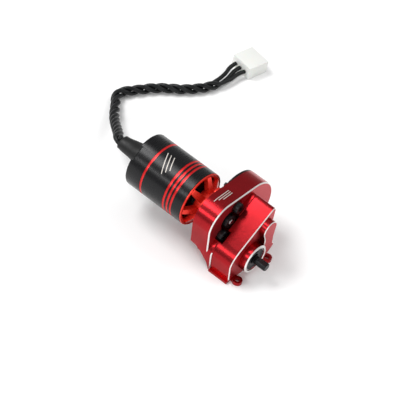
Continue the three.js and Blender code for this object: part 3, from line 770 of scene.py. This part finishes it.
def arm_outline():
    return [(3.8, -1.3), (4.6, -3.1), (4.9, -5.6), (4.2, -7.0), (5.0, -10.0), (7.4, -9.6), (8.9, -8.2),
            (9.4, -7.3), (8.5, -6.3), (8.2, -3.6), (8.3, -0.6)]


def ear_parts(y):
    base = -AXIS_HEIGHT
    eye = upright_rod((EAR_X, y, base + 0.5), 1.35, 1.0, 48)
    neck = box(HOUSING_FRONT - 0.8, EAR_X, y - 0.95, y + 0.95, base, base + 1.0)
    return [eye, neck]


def ear_hole(y):
    return upright_rod((EAR_X, y, -AXIS_HEIGHT), 0.7, 3, 40)


def front_housing():
    front = PARTING + 0.02
    paints = [RED, BRIGHT, MILLED]
    block = prism(block_outline(0.45), front, HOUSING_FRONT, 0.22, BRIGHT_EDGE, MILLED_FACE)
    rim = 0.28
    boss = turned([(HOUSING_FRONT - 0.5, 0), (HOUSING_FRONT - 0.5, 4.2), (BOSS_FRONT - rim, 4.2),
                   (BOSS_FRONT, 4.2 - rim), (BOSS_FRONT, 0)], OUTPUT, 112,
                  {2: BRIGHT_EDGE, 3: BRIGHT_EDGE})
    lay_boss = turned([(HOUSING_FRONT - 0.5, 0), (HOUSING_FRONT - 0.5, 2.45), (ARM_FRONT - 0.2, 2.45),
                       (ARM_FRONT, 2.25), (ARM_FRONT, 0)], LAY, 80,
                      {2: BRIGHT_EDGE, 3: MILLED_FACE})
    arm = prism(arm_outline(), HOUSING_FRONT - 0.5, ARM_FRONT, 0.2, BRIGHT_EDGE, MILLED_FACE)
    flange = box(front, HOUSING_FRONT, -6.3, -4.9, -AXIS_HEIGHT, -AXIS_HEIGHT + 0.7)
    parts = [boss, lay_boss, arm, flange] + [part for y in EARS for part in ear_parts(y)]
    body = combine("front_case", block, parts, "UNION", paints)
    tools = [
        rod(9, 15.6, 4.86, OUTPUT, 72),
        rod(15, 16.5, 2.3, OUTPUT),
        turned([(16.4, 0), (16.4, 3.52), (BOSS_FRONT - 0.12, 3.52), (BOSS_FRONT + 0.1, 3.74),
                (BOSS_FRONT + 1, 3.74), (BOSS_FRONT + 1, 0)], OUTPUT, 112, {2: BRIGHT_EDGE}),
        rod(16.2, 18, 0.3, (4.3, -4.2), 24),
    ]
    tools += [rod(9, 11.9, 2.05, at, 48) for at in MOTOR_SCREWS]
    tools += [ear_hole(y) for y in EARS]
    body = combine("front_case", body, tools, "DIFFERENCE", paints)
    finished(body, "case", "red_anodised", "front_housing", smooth=28)


def back_plate():
    rear, front = ARCH_REAR - 0.75, ARCH_REAR - 0.05
    radius = CASE_RADIUS - 0.05
    disc = turned([(rear, 0), (rear, radius - 0.2), (rear + 0.2, radius), (front, radius), (front, 0)],
                  SPUR, 128)
    tools = [rod(0, 5, 5.6, MOTOR, 80), box(0, 5, -10, 4.0, -20, 20)]
    tools += [rod(0, 5, PLATE_SCREW_HOLE, at, 24) for at in PLATE_SCREWS]
    plate = combine("rear_plate", disc, tools, "DIFFERENCE", [BLACK])
    finished(plate, "case", "black_anodised", "back_plate")


# ------------------------------------------------------------------ fasteners
def hexagon(x0, x1, radius, at):
    return rod(x0, x1, radius, at, 6)


def cap_screw(name, node, at, top, seat, head, shank, tip):
    """A socket cap screw along x; top is the outer end of its head and tip the end of its shank."""
    direction = 1 if seat > top else -1
    edge = 0.22 * head
    rings = [(top, 0), (top, head - edge)]
    for step in range(1, 4):
        angle = math.radians(90 * step / 3)
        rings.append((top + direction * edge * (1 - math.cos(angle)),
                      head - edge + edge * math.sin(angle)))
    rings += [(seat, head), (seat, shank), (tip - direction * 0.2, shank), (tip, shank - 0.15),
              (tip, 0)]
    floor = top + direction * 0.6 * abs(seat - top)
    socket = hexagon(min(top - direction, floor), max(top - direction, floor), 0.52 * head, at)
    screw = combine(name, turned(rings, at, 64), [socket], "DIFFERENCE", [DARK_STEEL])
    finished(screw, "case", "black_steel", node, smooth=38)


def fasteners():
    for i, at in enumerate(MOTOR_SCREWS):
        cap_screw(f"motor_cap_screw_{i + 1}", f"motor_screw_{i + 1}", at, ARCH_FRONT + 1.32,
                  ARCH_FRONT + 0.02, 1.5, 0.9, ARCH_FRONT - 6.78)
    for i, at in enumerate(PLATE_SCREWS):
        seat = ARCH_REAR - 0.78
        cap_screw(f"plate_cap_screw_{i + 1}", f"plate_screw_{i + 1}", at, seat - 0.4, seat, 0.56, 0.35,
                  seat + 2.4)
    cap_screw("case_cap_screw_1", "case_screw_1", CASE_SCREW, 8.88, 9.88, 1.4, 0.8, 14.08)


# ------------------------------------------------------------------ output
def output_shaft():
    edge = 0.18
    shaft = turned([(STUB_END, 0), (STUB_END, 1.0 - edge), (STUB_END + edge, 1.0), (6.1, 1.0),
                    (6.1, 1.5), (BOSS_FRONT, 1.5), (BOSS_FRONT, 1.15), (SHAFT_TIP - edge, 1.15),
                    (SHAFT_TIP, 1.15 - edge), (SHAFT_TIP, 0)], OUTPUT, 72)
    flat = box(BOSS_FRONT + 0.8, SHAFT_TIP + 1, -2, 2, 0.85, 2)
    bmesh.ops.translate(flat, verts=flat.verts, vec=(0, *OUTPUT))
    shaft = combine("drive_shaft", shaft, [flat], "DIFFERENCE", [DARK_STEEL])
    finished(shaft, "output", "black_steel", "output_shaft", smooth=30)


def output_bearing():
    """A thin bright outer race round a recessed shield and inner race, both painted near-black as shade
    in the recess.
    """
    x0, x1 = 16.45, 18.9
    rings = [(x0, 1.55), (x0, 3.4), (x0 + 0.1, 3.5), (x1 - 0.1, 3.5), (x1, 3.4), (x1, 3.22),
             (x1 - 0.25, 3.12), (x1 - 0.35, 2.9), (x1 - 0.35, 2.2), (x1 - 0.25, 2.08),
             (x1 - 0.05, 2.02), (x1 - 0.05, 1.66), (x1 - 0.12, 1.55)]
    # The shield and inner race take the near-black colour, a painted shade for the recess.
    inside_the_outer_race = {index: 1 for index in range(5, 12)}
    bearing = turned(rings, OUTPUT, ROUND, inside_the_outer_race)
    simple("output_ball_bearing", bearing, "case", "steel", [STEEL, BEARING_RECESS_SHADE], "output_front_bearing")


# ------------------------------------------------------------------ marks
def patch(name, surface, u_range, v_range, body, slot, steps=10):
    """A thin mark laid on a surface; surface gives a point for u, v and a height above it."""
    bm = bmesh.new()
    layers = []
    for height in (-0.02, 0.015):
        grid = []
        for i in range(steps + 1):
            u = u_range[0] + (u_range[1] - u_range[0]) * i / steps
            row = []
            for j in range(3):
                low, high = v_range(u)
                row.append(bm.verts.new(surface(u, low + (high - low) * j / 2, height)))
            grid.append(row)
        layers.append(grid)
    for grid in layers:
        for i in range(steps):
            for j in range(2):
                bm.faces.new((grid[i][j], grid[i + 1][j], grid[i + 1][j + 1], grid[i][j + 1]))
    low, high = layers
    for i in range(steps):
        for j in (0, 2):
            bm.faces.new((low[i][j], low[i + 1][j], high[i + 1][j], high[i][j]))
    for i in (0, steps):
        for j in range(2):
            bm.faces.new((low[i][j], low[i][j + 1], high[i][j + 1], high[i][j]))
    close(bm)
    simple(name, bm, body, slot, [INK], smooth=40)


def on_can(u, v, height):
    """u is degrees round the can from straight up towards the near side, v is x."""
    angle = math.radians(90 + u)
    radius = CAN_RADIUS + height
    return (v, radius * math.cos(angle), radius * math.sin(angle))


def on_arch(u, v, height):
    """u is the distance along the arch's outline from its top near corner, v is x."""
    corner_y = -1.4
    turn = u / ARCH_TOP
    if u < 0:
        return (v, corner_y - u, ARCH_TOP + height)
    radius = ARCH_TOP + height
    return (v, corner_y - radius * math.sin(turn), radius * math.cos(turn))


def marks():
    """Generic slanted bars where such units carry a printed mark."""
    for bar in range(3):
        x = -11.4 + 1.1 * bar
        patch(f"can_mark_bar_{bar + 1}", on_can, (4, 46 - 7 * bar),
              lambda u, x=x: (x + 0.06 * (u - 20), x + 0.06 * (u - 20) + 0.26), "case",
              "bare_aluminium")
    for bar in range(3):
        x = 5.7 + 0.6 * bar
        patch(f"arch_mark_bar_{bar + 1}", on_arch, (-4.2, 1.6 - 1.1 * bar),
              lambda u, x=x: (x, x + 0.2), "case", "bare_aluminium")


# ------------------------------------------------------------------ nodes kept from the frame
KEPT = {
    "stator_core": LAMINATION, "stator_windings": COPPER, "motor_rear_bearing": STEEL,
    "motor_front_bearing": STEEL, "magnet_ring": MAGNET, "case_screw_2": DARK_STEEL,
    "case_screw_3": DARK_STEEL, "spur_pin": STEEL, "spur_pinion": STEEL, "spur_gear": DARK_STEEL,
    "layshaft": STEEL, "layshaft_gear": STEEL, "layshaft_rear_bearing": STEEL,
    "layshaft_front_bearing": STEEL, "idler_pin": STEEL, "idler_gear": STEEL, "output_gear": STEEL,
    "output_rear_bearing": STEEL, "connector_contact_1": TIN, "connector_contact_2": TIN,
    "connector_contact_3": TIN,
}


def paint_kept():
    for name, material in KEPT.items():
        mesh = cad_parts[name].data
        mesh.materials.clear()
        mesh.materials.append(material)


sleeve()
connector()
motor_can()
front_bell()
rear_cap()
rotor_bell()
motor_shaft()
motor_pinion()
rear_housing()
front_housing()
back_plate()
fasteners()
output_shaft()
output_bearing()
marks()
paint_kept()


# ------------------------------------------------------------------ floor and light
def floor():
    bm = bmesh.new()
    bmesh.ops.create_grid(bm, x_segments=2, y_segments=2, size=3.0)
    n = Nodes("pale_floor")
    n.link(n.between(n.noise(6.0, 2.0), 0.55, 0.65), n.shader.inputs["Roughness"])
    n.set(Base_Color=(0.97, 0.97, 0.97, 1), Specular_IOR_Level=0.2)
    plane = make_object("floor", bm, [n.material])
    plane.location.z = -0.00002


def lamp(name, place, target, size, power):
    data = bpy.data.lights.new(name, "AREA")
    data.shape = "RECTANGLE"
    data.size, data.size_y = size
    data.energy = power
    obj = bpy.data.objects.new(name, data)
    obj.location = place
    obj.rotation_mode = "QUATERNION"
    obj.rotation_quaternion = (Vector(target) - Vector(place)).to_track_quat("-Z", "Y")
    bpy.context.scene.collection.objects.link(obj)


def lights():
    world = bpy.data.worlds.new("studio")
    world.use_nodes = True
    world.node_tree.nodes["Background"].inputs["Color"].default_value = (1, 1, 1, 1)
    world.node_tree.nodes["Background"].inputs["Strength"].default_value = 0.38
    bpy.context.scene.world = world
    lamp("key", (-0.34, -0.12, 0.5), (0, 0, 0), (0.34, 0.24), 2.4)
    lamp("front", (0.5, -0.3, 0.3), (0, 0, 0), (0.2, 0.2), 0.9)
    lamp("side", (-0.1, -0.5, 0.3), (0, 0, 0), (0.4, 0.08), 0.8)
    lamp("back", (0.15, 0.36, 0.5), (0, 0, 0), (0.5, 0.3), 1.0)


floor()
lights()
